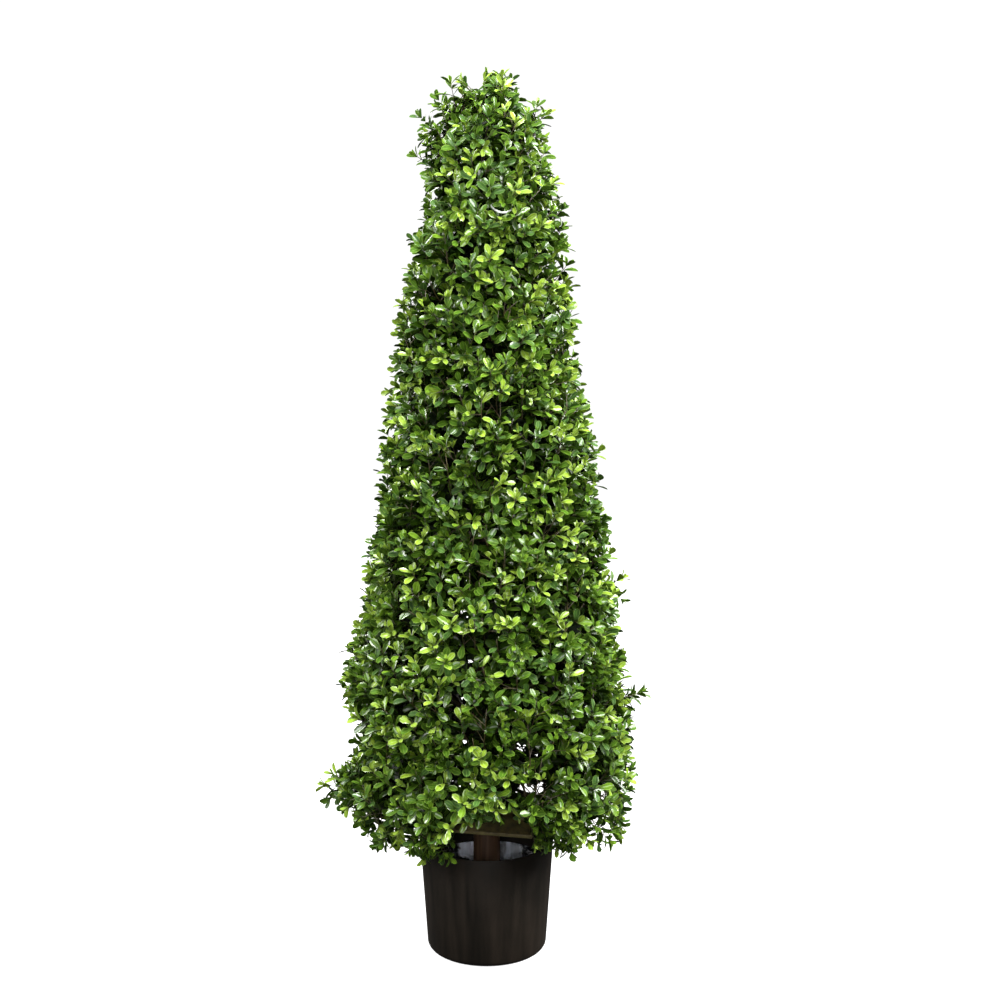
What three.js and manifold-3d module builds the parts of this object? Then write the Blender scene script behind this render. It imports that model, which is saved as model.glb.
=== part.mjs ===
// An artificial boxwood cone topiary, 1.22 m tall: sprigs of boxwood in five stacked masses
// round a straight post, with a flat board under them and a ballasted black pot below.
import * as THREE from 'three';
import { mergeVertices } from 'three/addons/utils/BufferGeometryUtils.js';
import Module from 'manifold-3d';

const wasm = await Module();
wasm.setup();

// Sizes in millimetres. Z is up, the pot stands on z = 0 and the post's axis is the Z axis.
const TOUCH = 0.3; // clearance that neighbouring pieces keep
const SIDES = 24; // flats round every turned piece, lined up with each other
const deg = THREE.MathUtils.degToRad;

// Pot, ballast, post and board
const POT_HEIGHT = 161;
const POT_TOP_RADIUS = 93.5;
const POT_BASE_RADIUS = 83;
const POT_WALL = 2.6;
const POT_FLOOR = 3.5;
const POT_FOOT_ROUND = 9;
const FILL_TOP = 106;
const POST_RADIUS = 19;
const POST_FOOT = 12;
const POST_TOP = 1082;
const BOARD_SIDE = 160;
const BOARD_THICKNESS = 5;
const BOARD_UNDERSIDE = 194;
const BOARD_TURN = deg(-12);

// Crown: radius reached by the leaf tips at each height, from the hem to the blunt tip
const CROWN_OUTLINE = [
  [188, 180], [204, 250], [196, 420], [163, 600], [132, 800], [103, 1000], [83, 1140],
  [70, 1180], [42, 1208], [0, 1216],
].map(([radius, height]) => new THREE.Vector2(radius, height));
const CORE_DEPTH = 66; // from the leaf tips in to the dense core
const CORE_LEAST_RADIUS = 32;
const MASS_SLOPE = Math.tan(deg(40)); // rise of the joint between two masses, going outward
const MASS_JOINTS = [302, 566, 793, 978]; // heights where those joints meet the post
const MASS_NAMES = ['foliage_skirt', 'foliage_lower', 'foliage_middle', 'foliage_upper', 'foliage_top'];
const SKIRT_WALL = 32; // the skirt's core is a bell, open below, with this wall and roof
const SKIRT_CORE_FOOT = 240;
const TOP_CORE_HEIGHT = 1138;
const TOP_CORE_DOME = 12; // rise of the top core from its shoulder to its middle
const CORNER_STEPS = 30; // halvings that find where a joint runs out of the core

// Space that leaves and twigs keep from what they don't grow from
const JOINT_ROOM_ABOVE = 2.5;
const JOINT_ROOM_BELOW = 1.8;
const BOARD_ROOM = { height: 12, radius: 118 };
const POST_ROOM = 1;

// Sprigs: the leaves are larger than life, each standing for a whorl of them
const ROW_STEP = 72; // between rows of sprigs, measured up the outline
const SPRIG_STEP = 96; // between sprigs in one row, at the hem
const FIRST_ROW = 0.4; // of a row step, up from the outline's foot
const ROW_JITTER = 0.22; // of a step, to either side
const TOP_SCALE = { size: 0.76, from: 500, to: 1150 }; // sprigs shrink and close up between these heights
const SPRIG_RISE = 40; // degrees above level that a sprig grows at on the cone's side
const RISE_VARIES = 14; // degrees, to either side
const RISE_RETRY = 18; // degrees steeper or flatter where a sprig finds no room
const STRAY_RETRY = 12;
const TOP_STEEPER = { turn: 45, from: 1060, to: 1200 }; // degrees that sprigs turn up over the top
const HEM_HANGS = { turn: 95, from: 190, to: 300 }; // degrees that they turn down toward the hem
const TWIG_RADIUS = 4;
const TWIG_SUNK = 9;
const SIDE_TWIG = 27;
const FORK_SHARE = 0.55; // of the twig's length, where its side twig leaves it
const FORK_SPREAD = deg(58);
const TIP_LEAF_SHARE = 0.86; // of the end leaf's length stands past the twig
const CORE_SEARCH = { from: 0.7, to: 4, step: 3 }; // leaf lengths back to look for the core, and the step
const LEAF_STATIONS = [0, 10, 21]; // back from the twig's end, one leaf at each
const LEAF_INSET = 3; // from the twig's end to the first of them
const LEAF_TURN = deg(137.5);
const LEAF_SPREAD = deg(64);
const LEAF_TIP_SPREAD = deg(14);
const BRANCH_SHARE = 0.4; // of the sprigs have a side twig
const LEAF_LENGTH = 65;
const LEAF_WIDTH = 39;
const LEAF_THICKNESS = 5;
const LEAF_SUNK = 1.5;
const LEAF_WIDEST = 0.12; // of its half length, past its middle
const LEAF_SIZES = [0.86, 1.08];
const LEAF_SPREADS = [0.8, 1.2];
const LEAF_TRIES = 9;
const LEAF_TRY_TURN = 1; // radians that a later try may turn by
const BUMP = 7; // how far the clipped surface swells in and out
const BUMP_WAVES = [{ turns: 3, rise: 70, start: 0 }, { turns: 5, rise: -48, start: 2 }];
const SEED = 22;

// Hem: leaves hang to HEM_FOOT, and higher over the middle of the front
const HEM_FOOT = 172;
const HEM_RAISE = 68;
const HEM_RAISE_AZIMUTH = -86;
const HEM_RAISE_SPREAD = 30;
const HEM_TIP = 8; // least height of a sprig's tip over the hem

// Sprigs that stand out of the clipped surface: azimuth in degrees, tip radius, tip height, rise
const STRAYS = [
  [183, 234, 243, 12], [-2, 222, 387, 24], [8, 196, 552, 30], [192, 97, 1112, 55],
  [205, 62, 1196, 75], [-40, 28, 1218, 84], [-18, 80, 1172, 62], [-124, 158, 124, -72],
  [-50, 170, 142, -60], [-8, 196, 150, -50], [30, 190, 158, -50], [140, 200, 172, -35],
];

// Openings right through the skirt, sloping up to the front: x range, then height range at the axis
const SKY_SLOPE = Math.tan(deg(22.5));
const SKY_LENGTH = 520; // longer than the crown is wide
const SKY_GAPS = [
  { left: 43, right: 78, foot: 234, top: 262 },
  { left: 52, right: 70, foot: 296, top: 314 },
];

// White tie loop on the front of the crown
const TIE = {
  azimuth: deg(-77), radius: 90, height: 1046, width: 27, length: 64, band: 2.4, thickness: 1.3, dip: deg(20),
};
const TIE_ROOM = { sides: 12, ends: 30, back: 20, height: 26 };

const potMaterial = new THREE.MeshStandardMaterial({ color: 0x1e1c17, roughness: 0.45 });
const fillMaterial = new THREE.MeshStandardMaterial({ color: 0x101214, roughness: 0.2 });
const postMaterial = new THREE.MeshStandardMaterial({ color: 0x3a2a1c, roughness: 0.6 });
const boardMaterial = new THREE.MeshStandardMaterial({ color: 0x27210c, roughness: 0.8 });
const leafMaterial = new THREE.MeshStandardMaterial({ color: 0x3f6b22, roughness: 0.5 });
const tieMaterial = new THREE.MeshStandardMaterial({ color: 0xe8e8e2, roughness: 0.5 });

// One closed solid from a geometry, for joining and cutting
function solidOf(geometry) {
  const bare = geometry.clone();
  bare.deleteAttribute('normal');
  bare.deleteAttribute('uv');
  const merged = mergeVertices(bare, 1e-4);
  return new wasm.Manifold(new wasm.Mesh({
    numProp: 3,
    vertProperties: new Float32Array(merged.attributes.position.array),
    triVerts: new Uint32Array(merged.index.array),
  }));
}

function geometryOf(solid) {
  const mesh = solid.getMesh();
  const geometry = new THREE.BufferGeometry();
  geometry.setAttribute('position', new THREE.BufferAttribute(mesh.vertProperties, 3));
  geometry.setIndex(new THREE.BufferAttribute(mesh.triVerts, 1));
  geometry.computeVertexNormals();
  return geometry;
}

// A piece turned round the Z axis from a profile of [radius, height] corners
function turned(corners) {
  const profile = corners.map(([radius, height]) => new THREE.Vector2(radius, height));
  return new THREE.LatheGeometry(profile, SIDES).rotateX(Math.PI / 2);
}

function named(name, geometry, material) {
  const mesh = new THREE.Mesh(geometry, material);
  mesh.name = name;
  return mesh;
}

// Seeded random numbers, one stream per mass
function stream(seed) {
  let state = seed;
  const next = () => {
    state = (state + 0x6d2b79f5) | 0;
    let t = Math.imul(state ^ (state >>> 15), 1 | state);
    t = (t + Math.imul(t ^ (t >>> 7), 61 | t)) ^ t;
    return ((t ^ (t >>> 14)) >>> 0) / 4294967296;
  };
  return { next, between: (low, high) => low + (high - low) * next() };
}

// --- Pot, ballast, post and board -------------------------------------------------------

function potRadius(height) {
  return POT_BASE_RADIUS + (POT_TOP_RADIUS - POT_BASE_RADIUS) * (height / POT_HEIGHT);
}

function pot() {
  const foot = [0, 30, 60, 90].map((turn) => {
    const angle = deg(turn);
    const centre = potRadius(POT_FOOT_ROUND) - POT_FOOT_ROUND;
    return [centre + POT_FOOT_ROUND * Math.sin(angle), POT_FOOT_ROUND * (1 - Math.cos(angle))];
  });
  return named('pot', turned([
    [0, 0], ...foot,
    [POT_TOP_RADIUS, POT_HEIGHT], [POT_TOP_RADIUS - POT_WALL, POT_HEIGHT],
    [potRadius(POT_FOOT_ROUND) - POT_WALL, POT_FOOT_ROUND],
    [potRadius(0) - POT_FOOT_ROUND, POT_FLOOR], [0, POT_FLOOR],
  ]), potMaterial);
}

function potFill() {
  const bore = POST_RADIUS + TOUCH;
  const clear = POT_WALL + TOUCH;
  return named('pot_fill', turned([
    [0, POT_FLOOR + TOUCH], [potRadius(0) - POT_FOOT_ROUND - TOUCH, POT_FLOOR + TOUCH],
    [potRadius(POT_FOOT_ROUND) - clear, POT_FOOT_ROUND + TOUCH],
    [potRadius(FILL_TOP) - clear, FILL_TOP],
    [bore, FILL_TOP], [bore, POST_FOOT - TOUCH], [0, POST_FOOT - TOUCH],
  ]), fillMaterial);
}

function post() {
  return named('trunk_post', turned([
    [0, POST_FOOT], [POST_RADIUS, POST_FOOT], [POST_RADIUS, POST_TOP], [0, POST_TOP],
  ]), postMaterial);
}

function board() {
  const half = BOARD_SIDE / 2;
  const outline = new THREE.Shape([
    new THREE.Vector2(-half, -half), new THREE.Vector2(half, -half),
    new THREE.Vector2(half, half), new THREE.Vector2(-half, half),
  ]);
  const hole = [];
  for (let i = 0; i < SIDES; i++) {
    const angle = (2 * Math.PI * i) / SIDES - BOARD_TURN;
    hole.push(new THREE.Vector2(Math.cos(angle), Math.sin(angle)).multiplyScalar(POST_RADIUS + TOUCH));
  }
  outline.holes.push(new THREE.Path(hole));
  const geometry = new THREE.ExtrudeGeometry(outline, { depth: BOARD_THICKNESS, bevelEnabled: false });
  const mesh = named('base_board', geometry, boardMaterial);
  mesh.rotation.z = BOARD_TURN;
  mesh.position.z = BOARD_UNDERSIDE;
  return mesh;
}

// --- Tie --------------------------------------------------------------------------------

function loopOutline(target, length, width) {
  const radius = width / 2;
  target.moveTo(radius, -length / 2 + radius);
  target.lineTo(radius, length / 2 - radius);
  target.absarc(0, length / 2 - radius, radius, 0, Math.PI, false);
  target.lineTo(-radius, -length / 2 + radius);
  target.absarc(0, -length / 2 + radius, radius, Math.PI, 2 * Math.PI, false);
  return target;
}

// The loop runs from the front of the crown back into the core, dipping toward the front
function tieLoop(grow) {
  const outer = loopOutline(new THREE.Shape(), TIE.length + 2 * grow, TIE.width + 2 * grow);
  const inset = 2 * (TIE.thickness + grow);
  outer.holes.push(loopOutline(new THREE.Path(), TIE.length - inset, TIE.width - inset));
  const depth = TIE.band + 2 * grow;
  const geometry = new THREE.ExtrudeGeometry(outer, { depth, bevelEnabled: false, curveSegments: 8 });
  geometry.translate(0, TIE.length / 2, -depth / 2);
  geometry.rotateX(TIE.dip);
  geometry.translate(0, -TIE.radius, TIE.height);
  return geometry.rotateZ(TIE.azimuth + Math.PI / 2);
}

// --- Crown ------------------------------------------------------------------------------

function outlineRadius(height) {
  for (let i = 1; i < CROWN_OUTLINE.length; i++) {
    const [low, high] = [CROWN_OUTLINE[i - 1], CROWN_OUTLINE[i]];
    if (height <= high.y) {
      return THREE.MathUtils.mapLinear(Math.max(height, low.y), low.y, high.y, low.x, high.x);
    }
  }
  return 0;
}

function coreRadius(height) {
  return Math.max(outlineRadius(height) - CORE_DEPTH, CORE_LEAST_RADIUS);
}

// Slow swelling of the clipped surface
function bump(azimuth, height) {
  const wave = BUMP_WAVES.reduce((sum, { turns, rise, start }) => (
    sum + Math.sin(turns * azimuth + height / rise + start)
  ), 0);
  return BUMP * 0.5 * wave;
}

function hemHeight(azimuth) {
  const away = THREE.MathUtils.euclideanModulo(azimuth - deg(HEM_RAISE_AZIMUTH) + Math.PI, 2 * Math.PI);
  const offset = (away - Math.PI) / deg(HEM_RAISE_SPREAD);
  return HEM_FOOT + HEM_RAISE * Math.exp(-(offset ** 4));
}

// Height of the joint under mass number `index`, at a radius from the axis
function jointHeight(index, radius) {
  return MASS_JOINTS[index - 1] + MASS_SLOPE * (radius - POST_RADIUS);
}

// Where that joint runs out of the core
function coreCorner(index, lift) {
  let radius = POST_RADIUS;
  for (let step = 0; step < CORNER_STEPS; step++) {
    radius += 0.5 * (coreRadius(jointHeight(index, radius)) - radius);
  }
  return [radius, jointHeight(index, radius) + lift];
}

function coreSolid(index) {
  const bore = POST_RADIUS + TOUCH;
  const half = TOUCH / 2;
  const last = MASS_JOINTS.length;
  const topInner = index < last ? [bore, jointHeight(index + 1, bore) - half] : null;
  const topOuter = index < last ? coreCorner(index + 1, -half) : null;
  if (index === 0) {
    const outer = coreRadius(SKIRT_CORE_FOOT);
    const roof = [outer - SKIRT_WALL, jointHeight(1, outer - SKIRT_WALL) - SKIRT_WALL];
    return solidOf(turned([
      [outer, SKIRT_CORE_FOOT], topOuter, topInner, [bore, topInner[1] - SKIRT_WALL], roof,
      [outer - SKIRT_WALL, SKIRT_CORE_FOOT], [outer, SKIRT_CORE_FOOT],
    ]));
  }
  const footInner = [bore, jointHeight(index, bore) + half];
  const footOuter = coreCorner(index, half);
  if (index < last) {
    return solidOf(turned([footInner, footOuter, topOuter, topInner, footInner]));
  }
  const shoulder = [coreRadius(TOP_CORE_HEIGHT), TOP_CORE_HEIGHT];
  return solidOf(turned([
    footInner, footOuter, shoulder, [0, TOP_CORE_HEIGHT + TOP_CORE_DOME],
    [0, POST_TOP + TOUCH], [bore, POST_TOP + TOUCH], footInner,
  ]));
}

// The core with the openings and the tie's slot cut through it
function cutCore(index) {
  const core = coreSolid(index);
  if (index === 0) return SKY_GAPS.reduce((solid, gap) => solid.subtract(solidOf(skyPrism(gap))), core);
  return index === MASS_JOINTS.length ? core.subtract(solidOf(tieLoop(TOUCH))) : core;
}

// A prism along the line that an opening is seen through
function skyPrism(gap) {
  const slope = Math.atan(SKY_SLOPE);
  const thickness = (gap.top - gap.foot) * Math.cos(slope);
  const geometry = new THREE.BoxGeometry(gap.right - gap.left, SKY_LENGTH, thickness);
  geometry.rotateX(-slope);
  return geometry.translate((gap.left + gap.right) / 2, 0, (gap.foot + gap.top) / 2);
}

// Space kept open round the tie, out past the leaf tips
function tieRoom() {
  const { sides, ends, back, height } = TIE_ROOM;
  const geometry = new THREE.BoxGeometry(TIE.width + sides, TIE.length + ends, height);
  geometry.translate(0, TIE.length / 2 - back, 0);
  geometry.rotateX(TIE.dip);
  geometry.translate(0, -TIE.radius, TIE.height);
  return geometry.rotateZ(TIE.azimuth + Math.PI / 2);
}

function pieceOf(solid) {
  return { solid, box: new THREE.Box3().setFromPoints(cornersOf(geometryOf(solid))) };
}

// True where a point is in the mass's own space and clear of everything else
function isFree(index, point) {
  const radius = Math.hypot(point.x, point.y);
  if (index > 0 && point.z < jointHeight(index, radius) + JOINT_ROOM_ABOVE) return false;
  const roof = index < MASS_JOINTS.length ? jointHeight(index + 1, radius) - JOINT_ROOM_BELOW : Infinity;
  if (point.z > roof) return false;
  return point.z > BOARD_UNDERSIDE + BOARD_ROOM.height || radius > BOARD_ROOM.radius;
}

// A direction tipped away from `axis` by `spread`, turned round it by `roll`
function tipped(axis, spread, roll) {
  const side = new THREE.Vector3(0, 0, 1).cross(axis);
  if (side.lengthSq() < 1e-6) side.set(1, 0, 0);
  side.normalize().applyAxisAngle(axis, roll);
  return axis.clone().applyAxisAngle(side, spread).normalize();
}

// One leaf blade, widest past its middle, its face turned along the twig
function leafGeometry(root, along, face, size) {
  const geometry = new THREE.OctahedronGeometry(1);
  const corners = geometry.attributes.position;
  for (let i = 0; i < corners.count; i++) {
    if (Math.abs(corners.getY(i)) < 0.5) corners.setY(i, LEAF_WIDEST);
  }
  geometry.scale((LEAF_WIDTH / 2) * size, (LEAF_LENGTH / 2) * size, LEAF_THICKNESS / 2);
  geometry.translate(0, (LEAF_LENGTH / 2) * size - LEAF_SUNK, 0);
  const across = new THREE.Vector3().crossVectors(along, face).normalize();
  const normal = new THREE.Vector3().crossVectors(across, along);
  geometry.applyMatrix4(new THREE.Matrix4().makeBasis(across, along, normal));
  return geometry.translate(root.x, root.y, root.z);
}

function cornersOf(geometry) {
  const place = geometry.attributes.position;
  return Array.from({ length: place.count }, (_, i) => new THREE.Vector3().fromBufferAttribute(place, i));
}

// Adds a solid to the mass unless it would cross one that it doesn't grow from
function addClear(mass, geometry, carrier) {
  const corners = cornersOf(geometry);
  if (!corners.every((corner) => isFree(mass.index, corner))) return null;
  const solid = solidOf(geometry);
  const box = new THREE.Box3().setFromPoints(corners);
  const crossing = [...mass.kept, ...mass.pieces].some((other) => (
    other.solid !== carrier && box.intersectsBox(other.box) && !solid.intersect(other.solid).isEmpty()
  ));
  if (crossing) return null;
  mass.pieces.push({ solid, box });
  return solid;
}

function twigGeometry(from, to) {
  const axis = new THREE.Vector3().subVectors(to, from);
  const section = new THREE.Shape([0, 120, 240].map((turn) => (
    new THREE.Vector2(TWIG_RADIUS, 0).rotateAround(new THREE.Vector2(), deg(turn))
  )));
  const geometry = new THREE.ExtrudeGeometry(section, { depth: axis.length(), bevelEnabled: false });
  const upright = new THREE.Vector3(0, 0, 1);
  geometry.applyQuaternion(new THREE.Quaternion().setFromUnitVectors(upright, axis.normalize()));
  return geometry.translate(from.x, from.y, from.z);
}

// A leaf takes the first of a few seeded directions in which it is clear of the others
function addLeaf(mass, carrier, root, axis, spread, roll, size) {
  for (let attempt = 0; attempt < LEAF_TRIES; attempt++) {
    const turn = attempt === 0 ? 0 : mass.random.between(-LEAF_TRY_TURN, LEAF_TRY_TURN);
    const along = tipped(axis, spread * mass.random.between(...LEAF_SPREADS), roll + turn);
    if (addClear(mass, leafGeometry(root, along, axis, size), carrier)) return;
  }
}

// Leaves up one twig: one carries on from its end, the rest stand off it in a spiral
function addLeaves(mass, twig, end, axis, stations, scale) {
  const roll = mass.random.between(0, 2 * Math.PI);
  stations.forEach((station, i) => {
    const root = end.clone().addScaledVector(axis, -station * scale - LEAF_INSET);
    const spread = i === 0 ? LEAF_TIP_SPREAD : LEAF_SPREAD;
    const size = scale * mass.random.between(...LEAF_SIZES);
    addLeaf(mass, twig, root, axis, spread, roll + i * LEAF_TURN, size);
  });
}

// A twig out of the core with leaves up it, and on some a side twig with two more
function addSprig(mass, tip, direction, reach) {
  const scale = sprigScale(tip.z);
  const end = tip.clone().addScaledVector(direction, -TIP_LEAF_SHARE * LEAF_LENGTH * scale);
  const root = tip.clone().addScaledVector(direction, -reach);
  const twig = addClear(mass, twigGeometry(root, end), mass.core);
  if (!twig) return false;
  addLeaves(mass, twig, end, direction, LEAF_STATIONS, scale);
  if (mass.random.next() < BRANCH_SHARE) {
    const fork = root.clone().lerp(end, FORK_SHARE);
    const branch = tipped(direction, FORK_SPREAD, mass.random.between(0, 2 * Math.PI));
    const branchEnd = fork.clone().addScaledVector(branch, SIDE_TWIG * scale);
    const sideTwig = addClear(mass, twigGeometry(fork, branchEnd), twig);
    if (sideTwig) addLeaves(mass, sideTwig, branchEnd, branch, LEAF_STATIONS.slice(0, 2), scale);
  }
  return true;
}

// Size of a sprig against one at the hem
function sprigScale(height) {
  const share = THREE.MathUtils.smoothstep(height, TOP_SCALE.from, TOP_SCALE.to);
  return THREE.MathUtils.lerp(1, TOP_SCALE.size, share);
}

function outward(azimuth, rise) {
  const level = Math.cos(rise);
  return new THREE.Vector3(level * Math.cos(azimuth), level * Math.sin(azimuth), Math.sin(rise));
}

// Distance back from the leaf tips to a root well inside the core
function coreReach(tip, direction) {
  const { from, to, step } = CORE_SEARCH;
  for (let reach = from * LEAF_LENGTH; reach < to * LEAF_LENGTH; reach += step) {
    const point = tip.clone().addScaledVector(direction, -reach);
    const radius = Math.hypot(point.x, point.y);
    const inCore = point.z > SKIRT_CORE_FOOT && point.z < TOP_CORE_HEIGHT
      && radius < coreRadius(point.z);
    if (inCore) return reach + TWIG_SUNK;
  }
  return 0;
}

// Degrees above level that the sprigs grow at, at a height
function riseAt(height) {
  const steeper = THREE.MathUtils.smoothstep(height, TOP_STEEPER.from, TOP_STEEPER.to) * TOP_STEEPER.turn;
  const hanging = (1 - THREE.MathUtils.smoothstep(height, HEM_HANGS.from, HEM_HANGS.to)) * HEM_HANGS.turn;
  return SPRIG_RISE + steeper - hanging;
}

// Grows one sprig in whichever mass has room for it
function growSprig(masses, azimuth, radius, height, rises) {
  const tip = new THREE.Vector3(radius * Math.cos(azimuth), radius * Math.sin(azimuth), height);
  for (const rise of rises) {
    const direction = outward(azimuth, deg(rise));
    const reach = coreReach(tip, direction);
    if (reach > 0 && masses.some((mass) => addSprig(mass, tip, direction, reach))) return;
  }
}

function growRows(masses) {
  const outline = new THREE.CurvePath();
  for (let i = 1; i < CROWN_OUTLINE.length; i++) {
    outline.add(new THREE.LineCurve(CROWN_OUTLINE[i - 1], CROWN_OUTLINE[i]));
  }
  const random = stream(SEED);
  const length = outline.getLength();
  let row = 0;
  for (let along = FIRST_ROW * ROW_STEP; along < length; row++) {
    const place = outline.getPointAt(along / length);
    const scale = sprigScale(place.y);
    const count = Math.max(1, Math.round((2 * Math.PI * place.x) / (SPRIG_STEP * scale)));
    for (let i = 0; i < count; i++) {
      const turn = i + 0.5 * (row % 2) + random.between(-ROW_JITTER, ROW_JITTER);
      const azimuth = (turn * 2 * Math.PI) / count;
      const height = place.y + random.between(-ROW_JITTER, ROW_JITTER) * ROW_STEP * scale;
      const radius = Math.max(0, Math.min(place.x, outlineRadius(height)) + bump(azimuth, height));
      if (height < hemHeight(azimuth) + HEM_TIP) continue;
      const rise = riseAt(height);
      const first = rise + random.between(-RISE_VARIES, RISE_VARIES);
      growSprig(masses, azimuth, radius, height, [first, rise, rise + RISE_RETRY, rise - RISE_RETRY]);
    }
    along += ROW_STEP * scale;
  }
}

function growStrays(masses) {
  for (const [azimuth, radius, height, rise] of STRAYS) {
    growSprig(masses, deg(azimuth), radius, height, [rise, rise + STRAY_RETRY, rise - STRAY_RETRY]);
  }
}

function largest(solids) {
  return solids.reduce((best, solid) => (solid.volume() > best.volume() ? solid : best));
}

function crown() {
  const [side, roof] = [POST_RADIUS + POST_ROOM, POST_TOP + POST_ROOM];
  const postRoom = turned([[0, POST_FOOT], [side, POST_FOOT], [side, roof], [0, roof]]);
  const kept = [postRoom, tieRoom(), ...SKY_GAPS.map(skyPrism)].map((geometry) => pieceOf(solidOf(geometry)));
  const masses = MASS_NAMES.map((name, index) => {
    const core = cutCore(index);
    return { name, index, core, kept, random: stream(SEED + 1 + index), pieces: [pieceOf(core)] };
  });
  growStrays(masses);
  growRows(masses);
  return masses.map((mass) => {
    const joined = wasm.Manifold.union(mass.pieces.map((piece) => piece.solid));
    return named(mass.name, geometryOf(largest(joined.decompose())), leafMaterial);
  });
}

const topiary = new THREE.Group();
topiary.add(pot(), potFill(), post(), board(), named('cable_tie', tieLoop(0), tieMaterial), ...crown());

export default topiary;
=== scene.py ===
import math

import bpy
import numpy as np
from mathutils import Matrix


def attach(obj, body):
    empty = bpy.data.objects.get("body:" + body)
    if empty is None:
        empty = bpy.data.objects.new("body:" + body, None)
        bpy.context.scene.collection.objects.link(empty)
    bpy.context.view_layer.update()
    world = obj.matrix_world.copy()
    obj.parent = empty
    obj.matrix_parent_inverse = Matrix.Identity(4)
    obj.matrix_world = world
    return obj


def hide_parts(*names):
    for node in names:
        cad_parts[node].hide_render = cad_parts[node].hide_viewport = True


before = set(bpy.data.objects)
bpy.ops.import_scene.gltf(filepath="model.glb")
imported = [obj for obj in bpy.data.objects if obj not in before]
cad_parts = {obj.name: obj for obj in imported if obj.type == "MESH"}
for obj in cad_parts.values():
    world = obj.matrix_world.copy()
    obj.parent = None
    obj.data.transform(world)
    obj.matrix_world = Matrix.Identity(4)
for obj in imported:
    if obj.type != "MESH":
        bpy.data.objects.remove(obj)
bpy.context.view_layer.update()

# ======================================================================================
# Pot. A tapered nursery pot moulded in black plastic, with a rounded foot and a thin
# square rim. Its walls are satin, streaked in the direction in which they left the mould.

POT_HEIGHT = 0.161
POT_TOP_RADIUS = 0.0935
POT_BASE_RADIUS = 0.083
POT_WALL = 0.0026
POT_FLOOR = 0.0035
POT_FOOT_ROUND = 0.009
POT_RIM_ROUND = 0.0006
ROUND_SIDES = 96
NEAR = 1e-4


class Signal:
    """A socket of a material that can be written into a sum."""

    def __init__(self, tree, socket):
        self.tree = tree
        self.socket = socket

    def node(self, kind, settings=None, inputs=None, output=0):
        """Adds a node of any kind, first with its settings and then with its sockets."""
        node = self.tree.nodes.new(kind)
        for name, value in (settings or {}).items():
            setattr(node, name, value)
        for name, value in (inputs or {}).items():
            if isinstance(value, Signal):
                self.tree.links.new(value.socket, node.inputs[name])
            else:
                node.inputs[name].default_value = value
        return Signal(self.tree, node.outputs[output])

    def maths(self, operation, first, second):
        return self.node("ShaderNodeMath", {"operation": operation}, {0: first, 1: second})

    def __add__(self, other):
        return self.maths("ADD", self, other)

    def __sub__(self, other):
        return self.maths("SUBTRACT", self, other)

    def __rsub__(self, other):
        return self.maths("SUBTRACT", other, self)

    def __mul__(self, other):
        return self.maths("MULTIPLY", self, other)

    __radd__ = __add__
    __rmul__ = __mul__

    def between(self, low, high):
        """0 at low, 1 at high, and straight between them."""
        inputs = {"Value": self, "From Min": low, "From Max": high}
        return self.node("ShaderNodeMapRange", {"clamp": True}, inputs)

    def tint(self, first, second):
        """The colour first where this is 0, and second where it is 1."""
        settings = {"data_type": "RGBA", "clamp_factor": True}
        colours = [part if isinstance(part, Signal) else (*part, 1.0) for part in (first, second)]
        return self.node("ShaderNodeMix", settings, {0: self, 6: colours[0], 7: colours[1]}, 2)

    def speckle(self, scale, stretch=(1, 1, 1), detail=3.0, roughness=0.5):
        """Soft noise of about 0.3 to 0.7 over a place."""
        place = self.node("ShaderNodeMapping", None, {"Vector": self, "Scale": stretch})
        inputs = {"Vector": place, "Scale": scale, "Detail": detail, "Roughness": roughness}
        return self.node("ShaderNodeTexNoise", None, inputs)

    def relief(self, distance, strength=1.0):
        """Turns a height of 0 to 1 into a bumped normal."""
        inputs = {"Height": self, "Distance": distance, "Strength": strength}
        return self.node("ShaderNodeBump", None, inputs)


def material_of(name, links=None, **constants):
    """A Principled material. `links` is a function of the place, and gives sockets their signals."""
    material = bpy.data.materials.new(name)
    material.use_nodes = True
    tree = material.node_tree
    shader = tree.nodes["Principled BSDF"]
    for socket, value in constants.items():
        shader.inputs[socket.replace("_", " ")].default_value = value
    if links:
        place = tree.nodes.new("ShaderNodeTexCoord")
        for socket, signal in links(Signal(tree, place.outputs["Object"])).items():
            tree.links.new(signal.socket, shader.inputs[socket])
    return material


def take(piece):
    """Makes a piece the only one selected, and the active one."""
    if bpy.context.mode != "OBJECT":
        bpy.ops.object.mode_set(mode="OBJECT")
    bpy.ops.object.select_all(action="DESELECT")
    piece.select_set(True)
    bpy.context.view_layer.objects.active = piece


def pick(piece, kind, test):
    """Opens a piece for editing, with the faces, edges or vertices selected that pass a test."""
    bpy.ops.object.mode_set(mode="EDIT")
    bpy.ops.mesh.select_mode(type=kind)
    bpy.ops.mesh.select_all(action="DESELECT")
    bpy.ops.object.mode_set(mode="OBJECT")
    mesh = piece.data
    for part in {"FACE": mesh.polygons, "EDGE": mesh.edges, "VERT": mesh.vertices}[kind]:
        part.select = bool(test(part))
    bpy.ops.object.mode_set(mode="EDIT")


def edge_height(piece, edge):
    """Height of a level edge, or None where it climbs."""
    first, second = (piece.data.vertices[index].co.z for index in edge.vertices)
    return first if abs(first - second) < 1e-5 else None


def settle(piece, name, material, node):
    """Names a finished piece, puts its place into its mesh and hands it to the frame."""
    take(piece)
    bpy.ops.object.transform_apply(location=True, rotation=True, scale=True)
    piece.name = name
    piece.data.name = name
    piece.data.materials.clear()
    piece.data.materials.append(material)
    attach(piece, "root")
    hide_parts(node)


def smooth_to(piece, degrees):
    """Shades a piece smooth over every edge that turns by less than `degrees`."""
    take(piece)
    bpy.ops.object.shade_smooth_by_angle(angle=math.radians(degrees))


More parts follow.
